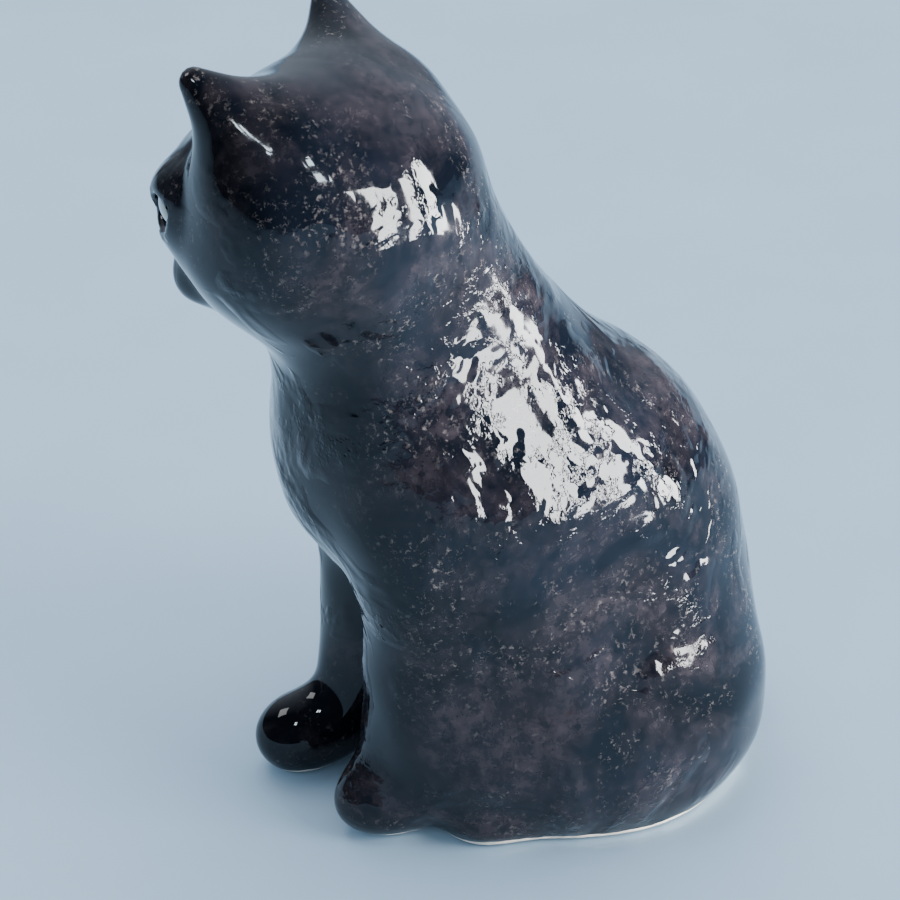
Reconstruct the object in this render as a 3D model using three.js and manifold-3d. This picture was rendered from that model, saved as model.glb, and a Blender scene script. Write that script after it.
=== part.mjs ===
// A hollow ceramic cat, seated upright with its head turned to its right.
// Millimetres, +Z up. The cat faces -Y, its left side is +X, and it stands on the plane z = 0
// with the origin under its belly.
//
// The clay pieces are smooth blends of ellipsoids and tapered rods. Each piece is a capsule
// whose vertices are moved outwards until they meet its blended form.
import * as THREE from 'three';
import { mergeVertices } from 'three/addons/utils/BufferGeometryUtils.js';
import Module from 'manifold-3d';

const wasm = await Module();
wasm.setup();

const at = (x, y, z) => new THREE.Vector3(x, y, z);
const turnAbout = (axis, degrees) =>
  new THREE.Quaternion().setFromAxisAngle(axis, THREE.MathUtils.degToRad(degrees));
const turnAboutX = (degrees) => turnAbout(at(1, 0, 0), degrees);
const turnAboutZ = (degrees) => turnAbout(at(0, 0, 1), degrees);

// Driving dimensions
const wall = 4.5; // thickness of the cast clay
const floorThickness = 5;
const jointGap = 0.3; // slip line between two luted pieces
const ventRadius = 8; // hole in the base that lets the hollow breathe in the kiln
const ventCentre = at(0, 18, 0);
const hipWidth = 42; // half the width across the haunches
const legSpacing = 14; // from the middle plane to a front leg
const tailRadius = 8.5;

const head = {
  centre: at(1, -46, 144),
  turn: turnAboutZ(-51).multiply(turnAboutX(17)),
  radii: at(34.5, 29, 26.5),
};
const neckSeam = { point: at(0, -31, 120), normal: at(0, -0.52, 0.85).normalize() };
const eye = { centre: at(18, -19.8, 8.5), radii: at(8.5, 5, 6.3), splay: 44 };

// --- Forms: each is a function from a point to its distance outside the surface ---

function ellipsoid(centre, radii, turn = new THREE.Quaternion()) {
  const unturn = turn.clone().invert();
  return (point) => {
    const local = point.clone().sub(centre).applyQuaternion(unturn).divide(radii);
    const reach = local.length();
    return (reach * (reach - 1)) / Math.max(local.divide(radii).length(), 1e-9);
  };
}

// A rod between two points that tapers from one radius to the other.
function taperedRod(start, end, startRadius, endRadius) {
  const axis = end.clone().sub(start);
  const lengthSquared = axis.lengthSq();
  const slack = (startRadius - endRadius) / Math.sqrt(lengthSquared - (startRadius - endRadius) ** 2);
  return (point) => {
    const offset = point.clone().sub(start);
    const along = offset.dot(axis) / lengthSquared;
    const sideways = offset.clone().addScaledVector(axis, -along).length();
    const share = THREE.MathUtils.clamp(along - (slack * sideways) / Math.sqrt(lengthSquared), 0, 1);
    const radius = THREE.MathUtils.lerp(startRadius, endRadius, share);
    return offset.addScaledVector(axis, -share).length() - radius;
  };
}

function blendTwo(first, second, softness) {
  const share = THREE.MathUtils.clamp(0.5 + (0.5 * (second - first)) / softness, 0, 1);
  return THREE.MathUtils.lerp(second, first, share) - softness * share * (1 - share);
}

const blend = (softness, ...forms) => (point) =>
  forms.map((form) => form(point)).reduce((sum, distance) => blendTwo(sum, distance, softness));

const hollowed = (form, scoop, softness) => (point) => -blendTwo(-form(point), scoop(point), softness);

const mirrored = (form) => (point) => form(at(Math.abs(point.x), point.y, point.z));

// Reads a form in the head's own frame: +X the cat's left, -Y where it looks, +Z its crown.
function inHead(form) {
  const unturn = head.turn.clone().invert();
  return (point) => form(point.clone().sub(head.centre).applyQuaternion(unturn));
}

const headPoint = (local) => local.clone().applyQuaternion(head.turn).add(head.centre);

// --- The cat's forms ---

function torsoForm() {
  const rump = ellipsoid(at(0, 16, 35), at(hipWidth, 35, 52));
  const seat = ellipsoid(at(0, 12, 12), at(hipWidth - 2, 38, 26));
  const back = ellipsoid(at(0, 1, 70), at(38, 37.5, 38), turnAboutX(19));
  const chest = ellipsoid(at(0, -34, 88), at(33, 22.8, 32));
  const shoulder = mirrored(ellipsoid(at(22, -16, 74), at(17, 30, 26)));
  const sides = [[1, -19], [-1, -13]].map(([side, flankY]) => {
    const haunch = ellipsoid(at(side * 27, 7, 25), at(20, 34, 30));
    const flank = ellipsoid(at(side * 22, flankY, 42), at(15, 26, 44));
    return blend(14, haunch, flank);
  });
  return blend(12, blend(16, rump, seat, back, chest), shoulder, blend(1, ...sides));
}

function skullForm() {
  const skull = ellipsoid(at(0, 0, 0), head.radii);
  const muzzle = ellipsoid(at(0, -25, -9), at(13.5, 9.5, 11.5));
  const brow = mirrored(ellipsoid(at(14, -16.5, 6), at(10, 9.5, 10)));
  return blend(6, skull, muzzle, brow);
}

function trunkForm() {
  const neck = taperedRod(at(0, -20, 102), head.centre, 28, 25);
  return blend(10, blend(14, torsoForm(), neck), inHead(skullForm()));
}

function earForm() {
  const flatness = 0.85;
  const shell = taperedRod(at(18, 3, 12), at(26, -4.5, 32.8), 15, 3.4);
  const flattened = (point) => flatness * shell(at(point.x, 3 + (point.y - 3) / flatness, point.z));
  const scoop = ellipsoid(at(20.5, -15, 19), at(8, 9, 13), turnAboutX(12));
  return hollowed(flattened, scoop, 3);
}

function frontLegForm(shoulderY, pawY) {
  const leg = taperedRod(at(15, shoulderY, 58), at(legSpacing, -38, 12), 14, 9);
  const paw = ellipsoid(at(legSpacing + 1, pawY, 8.5), at(9.3, 12, 9.4));
  return blend(6, leg, paw);
}

const hindPawForm = () => ellipsoid(at(27, -17.5, 6.5), at(7.5, 13.5, 8));

// --- Solids ---

// Joins the vertices that share a place and drops the triangles that this collapses.
function weld(geometry) {
  geometry.deleteAttribute('normal');
  geometry.deleteAttribute('uv');
  const welded = mergeVertices(geometry);
  const corners = welded.index.array;
  const kept = [];
  for (let i = 0; i < corners.length; i += 3) {
    const [a, b, c] = corners.subarray(i, i + 3);
    if (a !== b && b !== c && c !== a) kept.push(a, b, c);
  }
  welded.setIndex(kept);
  return welded;
}

function toSolid(geometry) {
  const welded = weld(geometry);
  const vertProperties = new Float32Array(welded.attributes.position.array);
  return new wasm.Manifold(
    new wasm.Mesh({ numProp: 3, vertProperties, triVerts: new Uint32Array(welded.index.array) }),
  );
}

function toGeometry(solid) {
  const mesh = solid.getMesh();
  const geometry = new THREE.BufferGeometry();
  geometry.setAttribute('position', new THREE.BufferAttribute(new Float32Array(mesh.vertProperties), 3));
  geometry.setIndex(new THREE.BufferAttribute(new Uint32Array(mesh.triVerts), 1));
  geometry.computeVertexNormals();
  return geometry;
}

// How far a ray from inside a form runs before it leaves the form grown by the given amount.
function distanceOut(form, origin, direction, growth) {
  const stride = 2;
  const outside = (distance) => form(origin.clone().addScaledVector(direction, distance)) > growth;
  let far = stride;
  while (!outside(far)) far += stride;
  let near = far - stride;
  for (let halving = 0; halving < 12; halving += 1) {
    const middle = (near + far) / 2;
    if (outside(middle)) far = middle;
    else near = middle;
  }
  return (near + far) / 2;
}

// Grows a thin capsule out to a form. The capsule's axis runs from start to end inside the form.
function wrap(form, start, end, facets, growth = 0) {
  const axis = end.clone().sub(start);
  const half = axis.length() / 2;
  const middle = start.clone().add(end).divideScalar(2);
  const turn = new THREE.Quaternion().setFromUnitVectors(at(0, 1, 0), axis.normalize());
  const capsule = weld(new THREE.CapsuleGeometry(1, 2 * half, facets.cap, facets.around, facets.along));
  const corners = capsule.attributes.position;
  for (let i = 0; i < corners.count; i += 1) {
    const corner = new THREE.Vector3().fromBufferAttribute(corners, i);
    const root = at(0, THREE.MathUtils.clamp(corner.y, -half, half), 0);
    const direction = corner.sub(root).normalize().applyQuaternion(turn);
    const origin = root.applyQuaternion(turn).add(middle);
    const place = origin.addScaledVector(direction, distanceOut(form, origin, direction, growth));
    corners.setXYZ(i, place.x, place.y, place.z);
  }
  return toSolid(capsule);
}

// A block that fills everything on the far side of a plane.
function halfSpace(point, normal) {
  const size = 400;
  const block = new THREE.BoxGeometry(size, size, size);
  block.translate(0, 0, size / 2);
  block.applyQuaternion(new THREE.Quaternion().setFromUnitVectors(at(0, 0, 1), normal));
  block.translate(point.x, point.y, point.z);
  return toSolid(block);
}

const below = (height) => halfSpace(at(0, 0, height), at(0, 0, -1));

const seamPoint = (shift) => neckSeam.point.clone().addScaledVector(neckSeam.normal, shift);

const bodyFacets = { cap: 7, around: 40, along: 14 };
const bodyShape = (growth, facets = bodyFacets) =>
  wrap(trunkForm(), at(0, 14, 34), at(0, -14, 98), facets, growth);

const headFacets = { cap: 10, around: 40, along: 4 };
const headShape = (growth, facets = headFacets) =>
  wrap(trunkForm(), at(1, -46, 138), at(1, -47, 149), facets, growth);

const headCavity = (growth) => headShape(-wall + growth, { cap: 6, around: 28, along: 3 });

// The outsides of the two castings grown by the slip line, for cutting what is luted onto them.
const bodyClearance = bodyShape(jointGap);
const headClearance = headShape(jointGap);

function bodyCasting() {
  const cavity = bodyShape(-wall, { cap: 5, around: 28, along: 8 }).subtract(below(floorThickness));
  const vent = new THREE.CylinderGeometry(ventRadius, ventRadius, 4 * floorThickness, 24);
  vent.rotateX(Math.PI / 2);
  vent.translate(ventCentre.x, ventCentre.y, ventCentre.z);
  return bodyShape(0)
    .subtract(below(0))
    .subtract(halfSpace(seamPoint(-jointGap / 2), neckSeam.normal))
    .subtract(cavity)
    .subtract(toSolid(vent));
}

function headCasting() {
  return headShape(0)
    .subtract(halfSpace(seamPoint(jointGap / 2), neckSeam.normal.clone().negate()))
    .subtract(headCavity(0))
    .subtract(eyeSolid(1, jointGap))
    .subtract(eyeSolid(-1, jointGap));
}

// side is 1 for the cat's left and -1 for its right.
function eyeSolid(side, growth) {
  const lens = new THREE.SphereGeometry(1, 24, 14);
  lens.scale(eye.radii.x + growth, eye.radii.y + growth, eye.radii.z + growth);
  lens.applyQuaternion(turnAboutZ(side * eye.splay));
  lens.translate(side * eye.centre.x, eye.centre.y, eye.centre.z);
  lens.applyQuaternion(head.turn);
  lens.translate(head.centre.x, head.centre.y, head.centre.z);
  return toSolid(lens);
}

// A pad of putty pressed in behind the glass, against the inside of the wall.
function eyeSeat(side) {
  const pad = new THREE.SphereGeometry(1, 20, 12);
  pad.scale(eye.radii.x + 1.5, eye.radii.y + 1.5, eye.radii.z + 1.5);
  pad.applyQuaternion(turnAboutZ(side * eye.splay));
  pad.translate(side * (eye.centre.x - 1), eye.centre.y + 1.5, eye.centre.z);
  pad.applyQuaternion(head.turn);
  pad.translate(head.centre.x, head.centre.y, head.centre.z);
  return toSolid(pad).intersect(headCavity(-jointGap)).subtract(eyeSolid(side, jointGap));
}

function ear(side) {
  const place = (local) => headPoint(at(side * local.x, local.y, local.z));
  const form = inHead(mirrored(earForm()));
  const facets = { cap: 5, around: 24, along: 6 };
  return wrap(form, place(at(19, 5, 16)), place(at(24.5, -2.5, 31)), facets).subtract(headClearance);
}

// The left leg stands upright. The right leg slopes from further back to a paw put further forward.
function frontLegShape(side, growth) {
  const shoulderY = side > 0 ? -28.5 : -21.5;
  const pawY = side > 0 ? -42 : -48;
  const foot = at(side * (legSpacing + 0.5), pawY + 3, 10);
  const shoulder = at(side * 15, shoulderY - 1, 52);
  const form = mirrored(frontLegForm(shoulderY, pawY));
  return wrap(form, foot, shoulder, { cap: 5, around: 24, along: 8 }, growth);
}

const frontLeg = (side) => frontLegShape(side, 0).subtract(below(0)).subtract(bodyClearance);

function hindPaw(side) {
  const toes = at(side * 27, -23, 6);
  const heel = at(side * 27, -12, 6);
  const paw = wrap(mirrored(hindPawForm()), toes, heel, { cap: 4, around: 20, along: 3 });
  return paw.subtract(below(0)).subtract(bodyClearance).subtract(frontLegShape(side, jointGap));
}

// The tail leaves the rump, lies on the ground and curls forward round the cat's right side.
function tail() {
  const route = new THREE.CatmullRomCurve3([
    at(14, 36, 24),
    at(4, 50, 12),
    at(-18, 50, tailRadius),
    at(-38, 35, tailRadius),
    at(-47, 14, tailRadius),
    at(-47, -2, tailRadius),
  ]);
  const section = new THREE.Shape().absarc(0, 0, tailRadius, 0, 2 * Math.PI);
  const rod = new THREE.ExtrudeGeometry(section, {
    steps: 24, extrudePath: route, bevelEnabled: false, curveSegments: 8,
  });
  const tip = new THREE.SphereGeometry(tailRadius, 16, 10);
  tip.translate(...route.getPoint(1).toArray());
  return toSolid(rod).add(toSolid(tip)).subtract(below(0)).subtract(bodyClearance);
}

// --- The figurine ---

const glaze = () => new THREE.MeshStandardMaterial({ color: 0x24272c, roughness: 0.15, metalness: 0 });
const glass = () => new THREE.MeshStandardMaterial({ color: 0x3b3d1e, roughness: 0.05, metalness: 0 });
const putty = () => new THREE.MeshStandardMaterial({ color: 0x9a9284, roughness: 0.9, metalness: 0 });

const figurine = new THREE.Group();

function addPiece(name, solid, material) {
  const piece = new THREE.Mesh(toGeometry(solid), material);
  piece.name = name;
  figurine.add(piece);
}

addPiece('body_casting', bodyCasting(), glaze());
addPiece('head_casting', headCasting(), glaze());
addPiece('tail', tail(), glaze());
for (const [name, side] of [['left', 1], ['right', -1]]) {
  addPiece(`ear_${name}`, ear(side), glaze());
  addPiece(`front_leg_${name}`, frontLeg(side), glaze());
  addPiece(`hind_paw_${name}`, hindPaw(side), glaze());
  addPiece(`eye_glass_${name}`, eyeSolid(side, 0), glass());
  addPiece(`eye_seat_${name}`, eyeSeat(side), putty());
}

export default figurine;
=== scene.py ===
"""A hollow ceramic cat under a near-black glaze, seated with its head turned to its right."""
import math

import bpy
import numpy as np
from mathutils import Matrix, Vector


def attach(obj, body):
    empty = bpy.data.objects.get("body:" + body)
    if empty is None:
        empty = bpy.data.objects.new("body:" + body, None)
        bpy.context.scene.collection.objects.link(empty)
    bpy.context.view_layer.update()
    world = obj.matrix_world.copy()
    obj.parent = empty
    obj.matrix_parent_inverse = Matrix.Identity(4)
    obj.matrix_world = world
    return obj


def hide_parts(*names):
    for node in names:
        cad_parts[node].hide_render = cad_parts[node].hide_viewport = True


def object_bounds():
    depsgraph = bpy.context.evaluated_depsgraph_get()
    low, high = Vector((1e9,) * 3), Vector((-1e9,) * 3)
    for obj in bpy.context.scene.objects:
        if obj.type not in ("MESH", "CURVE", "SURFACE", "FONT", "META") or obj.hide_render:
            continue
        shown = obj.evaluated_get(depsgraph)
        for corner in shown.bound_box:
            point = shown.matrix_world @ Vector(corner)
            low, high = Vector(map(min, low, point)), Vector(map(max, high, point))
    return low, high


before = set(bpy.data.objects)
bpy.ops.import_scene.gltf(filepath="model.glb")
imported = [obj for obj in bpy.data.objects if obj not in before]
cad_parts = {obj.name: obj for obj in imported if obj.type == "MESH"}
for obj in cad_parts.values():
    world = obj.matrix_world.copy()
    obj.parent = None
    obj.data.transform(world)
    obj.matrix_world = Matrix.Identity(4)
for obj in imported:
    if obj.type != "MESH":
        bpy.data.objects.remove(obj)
cad_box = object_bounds()

MM = 0.001

# Sizes and places, in millimetres. The cat faces -Y, its left is +X, and it stands on z = 0.
WALL = 4.5
FLOOR = 5.0
VENT_RADIUS = 8.0
VENT_Y = 18.0
HIP_WIDTH = 42.0
LEG_SPACING = 14.0
TAIL_RADIUS = 8.5
TAIL_ROUTE = [(14, 36, 24), (4, 50, 12), (-18, 50, 8.5), (-38, 35, 8.5), (-47, 14, 8.5), (-47, -2, 8.5)]
CELL = 1.2  # spacing of the grid that the skin is drawn out on
GRID_STEPS = np.eye(3, dtype=int)  # one step along each axis of that grid


def turn(axis, degrees):
    """A rotation as a 3x3 array."""
    return np.array(Matrix.Rotation(math.radians(degrees), 3, axis), np.float32)


HEAD_CENTRE = np.array((1, -46, 144), np.float32)
HEAD_TURN = turn("Z", -51) @ turn("X", 17)
HEAD_RADII = (34.5, 29, 26.5)
EYE_CENTRE = (18.0, -19.8, 8.5)
EYE_RADII = (8.5, 5.0, 6.3)
EYE_SPLAY = 44
EYE_TILT = -10
PUPIL_HALF_WIDTH = 1.9
PUPIL_HALF_HEIGHT = 4.6


# --- Forms: each takes an array of points and gives how far each lies outside the surface ---

def ellipsoid(centre, radii, axes=None):
    centre = np.array(centre, np.float32)
    radii = np.array(radii, np.float32)

    def form(points):
        local = points - centre
        if axes is not None:
            local = local @ axes
        local /= radii
        reach = np.sqrt((local * local).sum(1))
        local /= radii
        return reach * (reach - 1) / np.maximum(np.sqrt((local * local).sum(1)), 1e-9)
    return form


def tapered_rod(start, end, start_radius, end_radius):
    start = np.array(start, np.float32)
    axis = np.array(end, np.float32) - start
    length = float(np.linalg.norm(axis))
    narrowing = start_radius - end_radius
    slack = narrowing / math.sqrt(length ** 2 - narrowing ** 2)

    def form(points):
        offset = points - start
        along = offset @ axis / length ** 2
        sideways = np.linalg.norm(offset - along[:, None] * axis, axis=1)
        share = np.clip(along - slack * sideways / length, 0, 1)
        return np.linalg.norm(offset - share[:, None] * axis, axis=1) - (start_radius - narrowing * share)
    return form


def blend_two(first, second, softness):
    share = np.clip(0.5 + 0.5 * (second - first) / softness, 0, 1)
    return second + (first - second) * share - softness * share * (1 - share)


def blend(softness, *forms):
    def form(points):
        total = forms[0](points)
        for other in forms[1:]:
            total = blend_two(total, other(points), softness)
        return total
    return form


def carved(form, tool, softness):
    return lambda points: -blend_two(-form(points), tool(points), softness)


def mirrored(form):
    return lambda points: form(points * (-1, 1, 1) * (points[:, :1] < 0) + points * (points[:, :1] >= 0))


def in_head(form):
    """Reads a form in the head's own frame: +X the cat's left, -Y where it looks, +Z its crown."""
    return lambda points: form((points - HEAD_CENTRE) @ HEAD_TURN)


def near(form, low, high, margin=16.0):
    """The same form, worked out only for the points within a margin of its box."""
    middle = (np.array(low, np.float32) + np.array(high, np.float32)) / 2
    half = (np.array(high, np.float32) - np.array(low, np.float32)) / 2

    def quick(points):
        outside = np.linalg.norm(np.maximum(np.abs(points - middle) - half, 0), axis=1)
        distances = outside + margin
        close = outside < margin
        distances[close] = form(points[close])
        return distances
    return quick


# --- The cat's forms ---

def torso_form():
    rump = ellipsoid((0, 16, 35), (HIP_WIDTH, 35, 52))
    seat = ellipsoid((0, 12, 12), (HIP_WIDTH - 2, 38, 26))
    back = ellipsoid((0, 1, 70), (38, 37.5, 38), turn("X", 19))
    chest = ellipsoid((0, -34, 88), (33, 22.8, 32))
    shoulder = mirrored(ellipsoid((22, -16, 74), (17, 30, 26)))
    sides = []
    for side, flank_y in ((1, -19), (-1, -13)):
        haunch = ellipsoid((side * 27, 7, 25), (20, 34, 30))
        flank = ellipsoid((side * 22, flank_y, 42), (15, 26, 44))
        sides.append(blend(14, haunch, flank))
    return blend(12, blend(16, rump, seat, back, chest), shoulder, blend(1, *sides))


def skull_form():
    skull = ellipsoid((0, 0, 0), HEAD_RADII)
    muzzle = ellipsoid((0, -24, -8), (13, 9.5, 11.5))
    whisker_pad = mirrored(ellipsoid((6.2, -28, -9), (8, 6.5, 6.5)))
    brow = mirrored(ellipsoid((14, -16.5, 6), (10, 9.5, 10)))
    bridge = tapered_rod((0, -23.5, 9), (0, -29.5, -1), 6, 4.5)
    chin = ellipsoid((0, -26.5, -15.5), (7, 5.5, 4.5))
    face = blend(6, skull, muzzle, brow)
    return blend(3, face, whisker_pad, bridge, chin)


def trunk_form():
    neck = tapered_rod((0, -20, 102), HEAD_CENTRE, 28, 25)
    head = near(in_head(skull_form()), (-45, -95, 95), (48, 0, 190))
    return blend(10, blend(14, torso_form(), neck), head)


def ear_form():
    flatness = 0.85
    shell = tapered_rod((18, 3, 12), (26, -4.5, 32.8), 15, 3.4)

    def flattened(points):
        stretched = points.copy()
        stretched[:, 1] = 3 + (points[:, 1] - 3) / flatness
        return flatness * shell(stretched)
    scoop = ellipsoid((20.5, -15, 19), (8, 9, 13), turn("X", 12))
    return carved(flattened, scoop, 3)


def front_leg_form(shoulder_y, paw_y):
    leg = tapered_rod((15, shoulder_y, 58), (LEG_SPACING, -38, 12), 14, 9)
    paw = ellipsoid((LEG_SPACING + 1, paw_y, 8.5), (9.3, 12, 9.4))
    return near(blend(6, leg, paw), (0, -62, 0), (30, -8, 74))


def front_legs_form():
    """The left leg stands upright. The right leg slopes from further back to a paw put further forward."""
    left = mirrored(front_leg_form(-28.5, -42))
    right = mirrored(front_leg_form(-21.5, -48))
    return lambda points: np.where(points[:, 0] > 0, left(points), right(points))


def hind_paws_form():
    return mirrored(near(ellipsoid((27, -17.5, 6.5), (7.5, 13.5, 8)), (19, -32, 0), (35, -4, 15)))


def catmull_rom(route, count):
    """Evenly numbered points on the smooth curve through the route's points."""
    route = np.array(route, np.float32)
    padded = np.vstack([2 * route[0] - route[1], route, 2 * route[-1] - route[-2]])
    places = []
    for step in np.linspace(0, len(route) - 1, count):
        span = min(int(step), len(route) - 2)
        share = step - span
        before, start, end, after = padded[span:span + 4]
        places.append(0.5 * (
            2 * start + (end - before) * share
            + (2 * before - 5 * start + 4 * end - after) * share ** 2
            + (3 * start - before - 3 * end + after) * share ** 3))
    return places


def tail_form():
    places = catmull_rom(TAIL_ROUTE, 13)
    rods = [tapered_rod(start, end, TAIL_RADIUS, TAIL_RADIUS - 0.01)
            for start, end in zip(places, places[1:])]
    return near(blend(2, *rods), (-56, -11, 0), (23, 60, 33))


def in_eye(form):
    """Reads a form, from the head's frame, in the left eye's own: -Y out of the eye, +Z up the lids."""
    axes = turn("Z", EYE_SPLAY) @ turn("Y", EYE_TILT)
    return lambda points: form((points - np.array(EYE_CENTRE, np.float32)) @ axes)


def lids_form():
    return in_eye(ellipsoid((0, 0, 0), (10.4, 6.6, 8.2)))


def eye_opening_form():
    """An almond, where two lens shapes overlap, joined to the seat that the glass fills."""
    lower = ellipsoid((0, -8, -4.2), (9.5, 9.5, 8.6))
    upper = ellipsoid((0, -8, 4.2), (9.5, 9.5, 8.6))
    seat = ellipsoid((0, 0, 0), [radius + 0.1 for radius in EYE_RADII])

    def opening(points):
        almond = np.maximum(lower(points), upper(points))
        return np.minimum(almond, seat(points))
    return in_eye(opening)


def nose_form():
    """A small wedge: broad across the top, where the nostrils are, and narrow at the philtrum."""
    top = tapered_rod((-2.6, -32.6, -2.6), (2.6, -32.6, -2.6), 2.6, 2.59)
    tip = tapered_rod((0, -33.2, -3), (0, -32.8, -6), 2.4, 1.2)
    return blend(2, top, tip)


def mouth_form():
    """The groove under the nose and along the lips."""
    philtrum = tapered_rod((0, -35, -6.5), (0, -34.5, -11.5), 0.9, 1.1)
    lip = tapered_rod((0, -34.5, -11.5), (8.5, -30.5, -14), 1.2, 0.8)
    return mirrored(lambda points: np.minimum(philtrum(points), lip(points)))


def undulation(points):
    """The slow unevenness of hand-finished clay, mostly within half a millimetre either way."""
    random = np.random.default_rng(5)
    height = np.zeros(len(points), np.float32)
    for wavelength, depth in [(34, 0.16)] * 5 + [(17, 0.07)] * 6:
        heading = random.normal(size=3)
        heading *= 2 * math.pi / (wavelength * np.linalg.norm(heading))
        height += depth * np.sin(points @ heading.astype(np.float32) + random.uniform(0, 2 * math.pi))
    return height


def cat_form():
    """The whole fired clay: luted pieces in one skin, hollow inside, with a vent in the floor."""
    trunk = trunk_form()
    ears = near(in_head(mirrored(ear_form())), (-42, -92, 140), (38, -15, 182))
    legs = front_legs_form()
    hind_paws = hind_paws_form()
    tail = tail_form()
    face = (-45, -95, 115), (40, -40, 175)
    lids = near(in_head(mirrored(lids_form())), *face)
    openings = near(in_head(mirrored(eye_opening_form())), *face)
    nose = near(in_head(nose_form()), *face)
    mouth = near(in_head(mouth_form()), *face)

    def form(points):
        core = trunk(points)
        outside = blend_two(core, ears(points), 9)
        outside = blend_two(outside, legs(points), 8)
        outside = blend_two(outside, hind_paws(points), 5)
        outside = blend_two(outside, tail(points), 6)
        outside = outside + undulation(points)
        outside = blend_two(outside, lids(points), 3)
        outside = blend_two(outside, nose(points), 1.2)
        outside = -blend_two(-outside, mouth(points), 1.0)
        outside = -blend_two(-outside, openings(points), 0.8)
        height = points[:, 2]
        outside = -blend_two(-outside, height, 1.5)
        hollow = np.maximum(core + WALL, FLOOR - height)
        vent = np.hypot(points[:, 0], points[:, 1] - VENT_Y) - VENT_RADIUS
        hollow = np.minimum(hollow, np.maximum(vent, height - 2 * FLOOR))
        return -blend_two(-outside, hollow, 0.8)
    return form


# --- Drawing a form out as a mesh ---

def sample(form, low, counts, cell):
    """The form's distance at every point of a grid, one slab at a time."""
    across = low[0] + cell * np.arange(counts[0], dtype=np.float32)
    along = low[1] + cell * np.arange(counts[1], dtype=np.float32)
    field = np.empty(counts, np.float32)
    slab = 8
    for first in range(0, counts[2], slab):
        heights = low[2] + cell * np.arange(first, min(first + slab, counts[2]), dtype=np.float32)
        points = np.stack(np.meshgrid(across, along, heights, indexing="ij"), -1)
        field[:, :, first:first + slab] = form(points.reshape(-1, 3)).reshape(points.shape[:3])
    return field


def surface_net(field, low, cell):
    """One vertex in each grid cell that the surface crosses, and one quad across each crossed grid edge."""
    shape = np.array(field.shape)
    inside = field < 0
    corners = [np.array((i, j, k)) for i in (0, 1) for j in (0, 1) for k in (0, 1)]
    total = sum(
        inside[tuple(slice(step, size - 1 + step) for step, size in zip(corner, shape))].astype(np.int8)
        for corner in corners)
    active = (total > 0) & (total < 8)
    number = np.full(active.shape, -1, np.int64)
    number[active] = np.arange(active.sum())
    cells = np.argwhere(active)
    crossing_sum = np.zeros((len(cells), 3))
    crossing_count = np.zeros(len(cells))
    for axis in range(3):
        step = GRID_STEPS[axis]
        for corner in corners:
            if corner[axis]:
                continue
            start = field[tuple((cells + corner).T)]
            end = field[tuple((cells + corner + step).T)]
            crossed = (start < 0) != (end < 0)
            share = np.where(crossed, start / np.where(crossed, start - end, 1), 0)
            crossing_sum += crossed[:, None] * (corner + share[:, None] * step)
            crossing_count += crossed
    places = low + cell * (cells + crossing_sum / crossing_count[:, None])
    quads = []
    for axis in range(3):
        step, side, up = (GRID_STEPS[(axis + turned) % 3] for turned in range(3))
        first = inside[tuple(slice(0, size - part) for size, part in zip(shape, step))]
        second = inside[tuple(slice(part, size) for size, part in zip(shape, step))]
        edges = np.argwhere(first != second)
        leaving = first[tuple(edges.T)]
        ring = [number[tuple((edges - shift).T)] for shift in (side + up, up, 0 * up, side)]
        quad = np.stack(ring, 1)
        quad[~leaving] = quad[~leaving][:, ::-1]
        quads.append(quad)
    return places.astype(np.float32), np.concatenate(quads)


def gradient(form, points, step=0.15):
    slopes = np.empty_like(points)
    for axis in range(3):
        shift = np.zeros(3, np.float32)
        shift[axis] = step
        slopes[:, axis] = (form(points + shift) - form(points - shift)) / (2 * step)
    return slopes


def settle(form, points):
    """Moves each point straight onto the form's surface."""
    slopes = gradient(form, points)
    steepness = np.maximum((slopes * slopes).sum(1), 0.05)
    move = (form(points) / steepness)[:, None] * slopes
    length = np.linalg.norm(move, axis=1, keepdims=True)
    return points - move * np.minimum(1, CELL / np.maximum(length, 1e-9))


def relax(points, quads):
    """Evens out the spacing by moving each point halfway to the middle of its neighbours."""
    edges = np.concatenate([quads[:, (i, (i + 1) % 4)] for i in range(4)])
    total = np.zeros_like(points)
    np.add.at(total, edges[:, 0], points[edges[:, 1]])
    np.add.at(total, edges[:, 1], points[edges[:, 0]])
    count = np.bincount(edges.ravel(), minlength=len(points))
    return (points + total / count[:, None]) / 2


def draw_out(form, low, high, cell):
    low = np.array(low, np.float32)
    counts = tuple(int(size) for size in np.ceil((np.array(high) - low) / cell) + 1)
    points, quads = surface_net(sample(form, low, counts, cell), low, cell)
    for _ in range(3):
        points = settle(form, relax(points, quads).astype(np.float32))
    return settle(form, points), quads


def make_mesh(name, points, quads):
    mesh = bpy.data.meshes.new(name)
    mesh.vertices.add(len(points))
    mesh.vertices.foreach_set("co", (points * MM).ravel())
    mesh.loops.add(quads.size)
    mesh.loops.foreach_set("vertex_index", quads.ravel())
    mesh.polygons.add(len(quads))
    mesh.polygons.foreach_set("loop_start", np.arange(0, quads.size, 4))
    mesh.update(calc_edges=True)
    mesh.validate()
    mesh.polygons.foreach_set("use_smooth", [True] * len(mesh.polygons))
    piece = bpy.data.objects.new(name, mesh)
    bpy.context.scene.collection.objects.link(piece)
    return piece


# --- Materials ---

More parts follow.
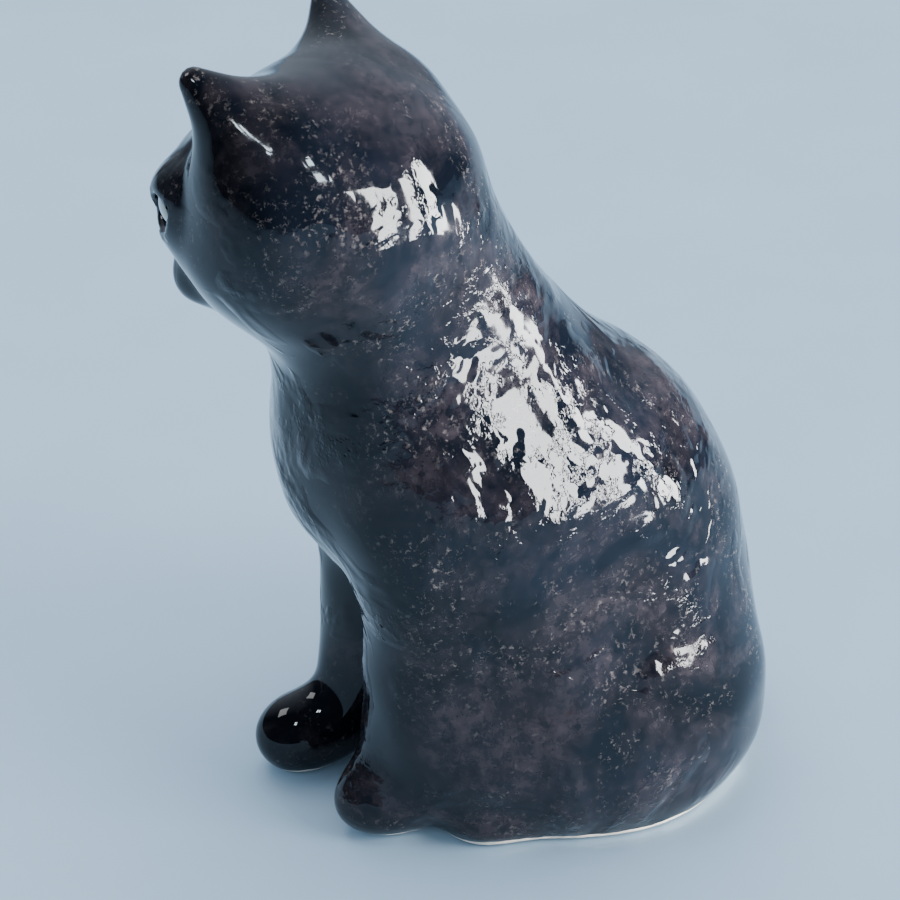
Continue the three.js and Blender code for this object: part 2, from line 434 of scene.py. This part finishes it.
class Nodes:
    """Short names for adding and linking a material's nodes. Positions are read in metres on the piece."""

    def __init__(self, name):
        self.material = bpy.data.materials.new(name)
        self.material.use_nodes = True
        self.tree = self.material.node_tree
        self.shader = self.tree.nodes["Principled BSDF"]
        self.place = self.tree.nodes.new("ShaderNodeTexCoord").outputs["Object"]

    def add(self, kind, **inputs):
        node = self.tree.nodes.new(kind)
        for key, value in inputs.items():
            if isinstance(value, bpy.types.NodeSocket):
                self.tree.links.new(value, node.inputs[key])
            else:
                node.inputs[key].default_value = value
        return node

    def noise(self, size_mm, detail=4.0, roughness=0.55, distortion=0.0):
        """Noise whose blotches are about size_mm across."""
        return self.add(
            "ShaderNodeTexNoise", Vector=self.place, Scale=1 / (size_mm * MM), Detail=detail,
            Roughness=roughness, Distortion=distortion).outputs["Fac"]

    def distance(self, centre_mm):
        """Distance in metres from a place on the piece."""
        node = self.tree.nodes.new("ShaderNodeVectorMath")
        node.operation = "DISTANCE"
        node.inputs[1].default_value = Vector(centre_mm) * MM
        self.tree.links.new(self.place, node.inputs[0])
        return node.outputs["Value"]

    def cells(self, size_mm, place):
        """Distance from the middle of the nearest cell, for cells about size_mm across."""
        node = self.add("ShaderNodeTexVoronoi", Vector=place, Scale=1 / (size_mm * MM))
        return node.outputs["Distance"]

    def warped(self, size_mm, shift_mm):
        """Positions on the piece, shifted about by noise so that cells don't look regular."""
        noise = self.add("ShaderNodeTexNoise", Vector=self.place, Scale=1 / (size_mm * MM), Detail=2.0)
        shift = self.tree.nodes.new("ShaderNodeVectorMath")
        shift.operation = "MULTIPLY_ADD"
        shift.inputs[1].default_value = (2 * shift_mm * MM,) * 3
        self.tree.links.new(noise.outputs["Color"], shift.inputs[0])
        self.tree.links.new(self.place, shift.inputs[2])
        return shift.outputs["Vector"]

    def ramp(self, value, low, high, first=(0, 0, 0, 1), last=(1, 1, 1, 1)):
        node = self.add("ShaderNodeValToRGB", Fac=value)
        for stop, position, colour in zip(node.color_ramp.elements, (low, high), (first, last)):
            stop.position = position
            stop.color = colour
        return node.outputs["Color"]

    def mix(self, share, first, last):
        node = self.tree.nodes.new("ShaderNodeMix")
        node.data_type = "RGBA"
        for key, value in ((0, share), (6, first), (7, last)):
            if isinstance(value, bpy.types.NodeSocket):
                self.tree.links.new(value, node.inputs[key])
            else:
                node.inputs[key].default_value = value
        return node.outputs[2]

    def math(self, operation, first, second):
        node = self.tree.nodes.new("ShaderNodeMath")
        node.operation = operation
        for socket, value in zip(node.inputs, (first, second)):
            if isinstance(value, bpy.types.NodeSocket):
                self.tree.links.new(value, socket)
            else:
                socket.default_value = value
        return node.outputs["Value"]

    def length(self, across, up):
        """The length of a step so far across and so far up."""
        squares = [self.math("POWER", self.math("ABSOLUTE", part, 0.0), 2.0) for part in (across, up)]
        return self.math("POWER", self.math("ADD", *squares), 0.5)

    def bump(self, height, depth_mm, strength=1.0, under=None):
        inputs = {"Height": height, "Distance": depth_mm * MM, "Strength": strength}
        if under is not None:
            inputs["Normal"] = under
        return self.add("ShaderNodeBump", **inputs).outputs["Normal"]

    def set(self, **inputs):
        for key, value in inputs.items():
            socket = self.shader.inputs[key.replace("_", " ")]
            if isinstance(value, bpy.types.NodeSocket):
                self.tree.links.new(value, socket)
            else:
                socket.default_value = value
        return self.material


def height_mm(nodes):
    split = nodes.add("ShaderNodeSeparateXYZ", Vector=nodes.place)
    return nodes.math("MULTIPLY", split.outputs["Z"], 1 / MM)


def glaze_material():
    """Near-black glaze, hazed blue-grey and brown, flecked pale, and crinkled and pitted in wide patches."""
    nodes = Nodes("black_glaze")
    clouds = nodes.ramp(
        nodes.noise(34, 5, 0.6, 0.4), 0.35, 0.65, (0.001, 0.0014, 0.0025, 1), (0.003, 0.0045, 0.008, 1))
    haze_here = nodes.ramp(nodes.noise(22, 5, 0.65, 0.8), 0.40, 0.66)
    haze = nodes.math("MULTIPLY", haze_here, nodes.ramp(nodes.noise(4.5, 8, 0.75, 0.3), 0.36, 0.72))
    colour = nodes.mix(haze, clouds, (0.028, 0.022, 0.026, 1))
    flecks_here = nodes.ramp(nodes.noise(16, 4), 0.44, 0.62)
    flecks = nodes.math("MULTIPLY", nodes.ramp(nodes.noise(1.3, 4, 0.75), 0.56, 0.74), flecks_here)
    colour = nodes.mix(flecks, colour, (0.10, 0.088, 0.084, 1))

    height = height_mm(nodes)
    below_crown = nodes.ramp(nodes.math("DIVIDE", height, 200.0), 0.70, 0.84, (1, 1, 1, 1), (0, 0, 0, 1))
    shoulder = nodes.ramp(nodes.distance((32, -12, 98)), 0.025, 0.075, (0.16, 0.16, 0.16, 1), (0, 0, 0, 1))
    patches = nodes.ramp(nodes.math("ADD", nodes.noise(24, 3, 0.6, 0.4), shoulder), 0.50, 0.64)
    crawled = nodes.math("MULTIPLY", patches, below_crown)
    ripple = nodes.bump(nodes.noise(17, 1, 0.3), 0.6, 0.4)
    wrinkle = nodes.bump(nodes.math("MULTIPLY", nodes.noise(9, 1.5, 0.4, 0.5), crawled), 1.0, 0.6, ripple)
    facets = nodes.math("MULTIPLY", nodes.cells(7, nodes.warped(9, 5)), crawled)
    crinkle = nodes.bump(facets, 0.35, 0.5, wrinkle)
    pit = nodes.ramp(nodes.cells(1.5, nodes.warped(2, 0.6)), 0.14, 0.30)
    pits_here = nodes.math("MULTIPLY", nodes.ramp(nodes.noise(7, 4, 0.65), 0.52, 0.58), crawled)
    pits = nodes.math("MULTIPLY", pit, pits_here)
    pitted = nodes.bump(pits, 0.10, 0.7, crinkle)
    peel = nodes.bump(nodes.noise(1.4, 2, 0.5), 0.010, 0.6, pitted)

    foot_edge = nodes.math("ADD", 1.5, nodes.math("MULTIPLY", nodes.noise(6, 2), 1.6))
    bare = nodes.math("LESS_THAN", height, foot_edge)
    colour = nodes.mix(bare, colour, (0.80, 0.71, 0.60, 1))
    gloss = nodes.math("ADD", 0.04, nodes.math("MULTIPLY", haze, 0.16))
    roughness = nodes.math("MAXIMUM", gloss, nodes.math("MULTIPLY", bare, 0.85))
    return nodes.set(Base_Color=colour, Roughness=roughness, Normal=peel, IOR=1.36)


def bare_clay_material():
    nodes = Nodes("bare_clay")
    colour = nodes.ramp(nodes.noise(9, 4), 0.3, 0.7, (0.55, 0.48, 0.39, 1), (0.66, 0.60, 0.50, 1))
    grain = nodes.bump(nodes.noise(0.8, 3), 0.08)
    return nodes.set(Base_Color=colour, Roughness=0.88, Normal=grain)


def putty_material():
    nodes = Nodes("putty")
    colour = nodes.ramp(nodes.noise(3, 3), 0.3, 0.7, (0.30, 0.27, 0.22, 1), (0.40, 0.36, 0.30, 1))
    return nodes.set(Base_Color=colour, Roughness=0.9, Normal=nodes.bump(nodes.noise(1.5, 3), 0.2))


def eye_material():
    """Cast glass over a painted back: a dark ring, a streaked olive iris and a tall black pupil."""
    nodes = Nodes("eye_glass")
    split = nodes.add("ShaderNodeSeparateXYZ", Vector=nodes.place)
    across = nodes.math("MULTIPLY", split.outputs["X"], 1 / MM)
    up = nodes.math("MULTIPLY", split.outputs["Z"], 1 / MM)
    reach = nodes.length(across, up)
    angle = nodes.math("ARCTAN2", up, across)
    spokes = nodes.add(
        "ShaderNodeCombineXYZ", X=nodes.math("MULTIPLY", angle, 6.0), Y=nodes.math("MULTIPLY", reach, 0.5))
    streaks = nodes.add("ShaderNodeTexNoise", Vector=spokes.outputs["Vector"], Scale=1.5, Detail=3.0)
    iris = nodes.ramp(streaks.outputs["Fac"], 0.3, 0.7, (0.055, 0.060, 0.008, 1), (0.20, 0.17, 0.025, 1))
    shade = nodes.ramp(nodes.math("DIVIDE", reach, 10.0), 0.42, 0.66)
    colour = nodes.mix(shade, iris, (0.004, 0.005, 0.003, 1))
    slit = nodes.length(
        nodes.math("DIVIDE", across, PUPIL_HALF_WIDTH), nodes.math("DIVIDE", up, PUPIL_HALF_HEIGHT))
    pupil = nodes.ramp(slit, 0.92, 1.0, (1, 1, 1, 1), (0, 0, 0, 1))
    colour = nodes.mix(pupil, colour, (0.001, 0.001, 0.001, 1))
    return nodes.set(
        Base_Color=colour, Roughness=0.12, IOR=1.5, Coat_Weight=1.0, Coat_Roughness=0.01, Coat_IOR=1.52)


def counter_material():
    nodes = Nodes("counter")
    colour = nodes.ramp(nodes.noise(60, 4), 0.3, 0.7, (0.40, 0.57, 0.74, 1), (0.43, 0.60, 0.77, 1))
    return nodes.set(Base_Color=colour, Roughness=0.6)


# --- Pieces ---

def add_skin():
    low, high = (np.array(corner) / MM for corner in cad_box)
    form = cat_form()
    points, quads = draw_out(form, low - 4, high + 4, CELL)
    skin = make_mesh("glazed_cat", points, quads)
    skin.data.materials.append(glaze_material())
    skin.data.materials.append(bare_clay_material())
    trunk = trunk_form()
    middles = points[quads].mean(1)
    within = (trunk(middles) < -0.6 * WALL) & (middles[:, 2] > 0.6 * FLOOR)
    skin.data.polygons.foreach_set("material_index", within.astype(np.int32))
    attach(skin, "root")
    clay = ["body_casting", "head_casting", "tail"]
    clay += [f"{part}_{side}" for part in ("ear", "front_leg", "hind_paw") for side in ("left", "right")]
    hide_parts(*clay)
    return skin


def add_eye(side, name, material):
    """A cabochon of glass: a ball squashed to the eye's radii, turned to look out of its socket."""
    bpy.ops.mesh.primitive_uv_sphere_add(segments=64, ring_count=32, radius=1)
    eye = bpy.context.active_object
    eye.name = f"glass_eye_{name}"
    eye.data.transform(Matrix.Diagonal((*(radius * MM for radius in EYE_RADII), 1)))
    eye.data.polygons.foreach_set("use_smooth", [True] * len(eye.data.polygons))
    head = Matrix.Translation(Vector(HEAD_CENTRE.tolist()) * MM) @ Matrix(HEAD_TURN.tolist()).to_4x4()
    centre = Matrix.Translation(Vector((side * EYE_CENTRE[0], EYE_CENTRE[1], EYE_CENTRE[2])) * MM)
    splay = Matrix.Rotation(math.radians(side * EYE_SPLAY), 4, "Z")
    tilt = Matrix.Rotation(math.radians(side * EYE_TILT), 4, "Y")
    eye.matrix_world = head @ centre @ (splay @ tilt)
    eye.data.materials.append(material)
    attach(eye, "root")
    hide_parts(f"eye_glass_{name}")
    return eye


def dress_cad_nodes():
    putty = putty_material()
    for side in ("left", "right"):
        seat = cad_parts[f"eye_seat_{side}"]
        seat.data.materials.clear()
        seat.data.materials.append(putty)


# --- Stage, light and camera ---

def add_counter():
    bpy.ops.mesh.primitive_plane_add(size=30)
    counter = bpy.context.active_object
    counter.name = "counter"
    counter.data.materials.append(counter_material())


def direction(azimuth, elevation):
    """A unit vector from the cat, with azimuth 0 in front of it and 90 at its left side."""
    around, up = math.radians(azimuth), math.radians(elevation)
    return Vector((math.sin(around) * math.cos(up), -math.cos(around) * math.cos(up), math.sin(up)))


def add_softbox(
        name, azimuth, middle, distance, size, power, colour=(0.96, 0.98, 1), lit=None, in_gloss=True):
    """A rectangle of light that faces the cat, its middle at the given height in metres. It lights only
    the pieces in the collection lit, if that is given. Where in_gloss is False, no reflection shows it."""
    light = bpy.data.lights.new(name, "AREA")
    light.shape = "RECTANGLE"
    light.size, light.size_y = size
    light.energy = power
    light.color = colour
    lamp = bpy.data.objects.new(name, light)
    lamp.location = direction(azimuth, 0) * distance + Vector((0, 0, middle))
    towards = lamp.location - Vector((0, 0, 0.08))
    lamp.rotation_euler = towards.to_track_quat("Z", "Y").to_euler()
    lamp.visible_camera = False
    lamp.visible_glossy = in_gloss
    lamp.light_linking.receiver_collection = lit
    bpy.context.scene.collection.objects.link(lamp)


def add_lights(cat):
    """Tall windows near the cat that show in its glaze, small far ones, and soft light on the counter."""
    for pane, azimuth in enumerate((112, 132, 156)):
        add_softbox(f"tall_window_{pane}", azimuth, 0.175, 0.32, (0.066, 0.26), 3.4, lit=cat)
    for pane, middle in enumerate((1.95, 2.28)):
        add_softbox(f"front_window_{pane}", 50, middle, 1.5, (0.22, 0.11), 5.0, (0.75, 0.90, 1), lit=cat)
    for pane, middle in enumerate((1.30, 1.62)):
        add_softbox(f"side_window_{pane}", 107, middle, 1.55, (0.16, 0.12), 3.5, (0.75, 0.90, 1), lit=cat)
    add_softbox("face_window", 318, 1.7, 1.4, (0.7, 0.7), 12, lit=cat)
    add_softbox("ceiling", 245, 2.4, 0.5, (2.6, 2.6), 68, in_gloss=False)
    add_softbox("daylight", 128, 1.5, 2.2, (1.1, 1.1), 42, in_gloss=False)
    add_world()


def add_world():
    """An even pale backdrop and skylight. Gloss shows a dim room with a bright wall behind the cat."""
    world = bpy.data.worlds.new("studio")
    world.use_nodes = True
    tree = world.node_tree
    facing = tree.nodes.new("ShaderNodeVectorMath")
    facing.operation = "DOT_PRODUCT"
    facing.inputs[1].default_value = direction(245, 38)
    tree.links.new(tree.nodes.new("ShaderNodeTexCoord").outputs["Generated"], facing.inputs[0])
    ramp = tree.nodes.new("ShaderNodeValToRGB")
    tree.links.new(facing.outputs["Value"], ramp.inputs["Fac"])
    for stop, position, colour in zip(
            ramp.color_ramp.elements, (0.50, 0.97), ((0.035, 0.042, 0.055, 1), (0.62, 0.74, 0.90, 1))):
        stop.position = position
        stop.color = colour
    backdrop = tree.nodes.new("ShaderNodeMix")
    backdrop.data_type = "RGBA"
    backdrop.inputs[6].default_value = (0.54, 0.63, 0.73, 1)
    tree.links.new(tree.nodes.new("ShaderNodeLightPath").outputs["Is Glossy Ray"], backdrop.inputs[0])
    tree.links.new(ramp.outputs["Color"], backdrop.inputs[7])
    tree.links.new(backdrop.outputs[2], tree.nodes["Background"].inputs["Color"])
    bpy.context.scene.world = world


def add_camera():
    azimuth, distance, height, pitch, sideways = 64.4, 446.9, 320.6, 28.6, -17.1
    camera_data = bpy.data.cameras.new("camera")
    camera_data.lens = 93.7
    camera_data.clip_start = 0.01
    camera = bpy.data.objects.new("camera", camera_data)
    around = math.radians(azimuth)
    camera.location = (
        direction(azimuth, 0) * distance + Vector((math.cos(around), math.sin(around), 0)) * sideways
        + Vector((0, 0, height))) * MM
    camera.rotation_euler = (math.radians(90 - pitch), 0, around)
    bpy.context.scene.collection.objects.link(camera)
    bpy.context.scene.camera = camera


add_camera()
add_counter()
cat = bpy.data.collections.new("cat")
cat.objects.link(add_skin())
glass = eye_material()
for eye_side, eye_name in ((1, "left"), (-1, "right")):
    cat.objects.link(add_eye(eye_side, eye_name, glass))
dress_cad_nodes()
add_lights(cat)
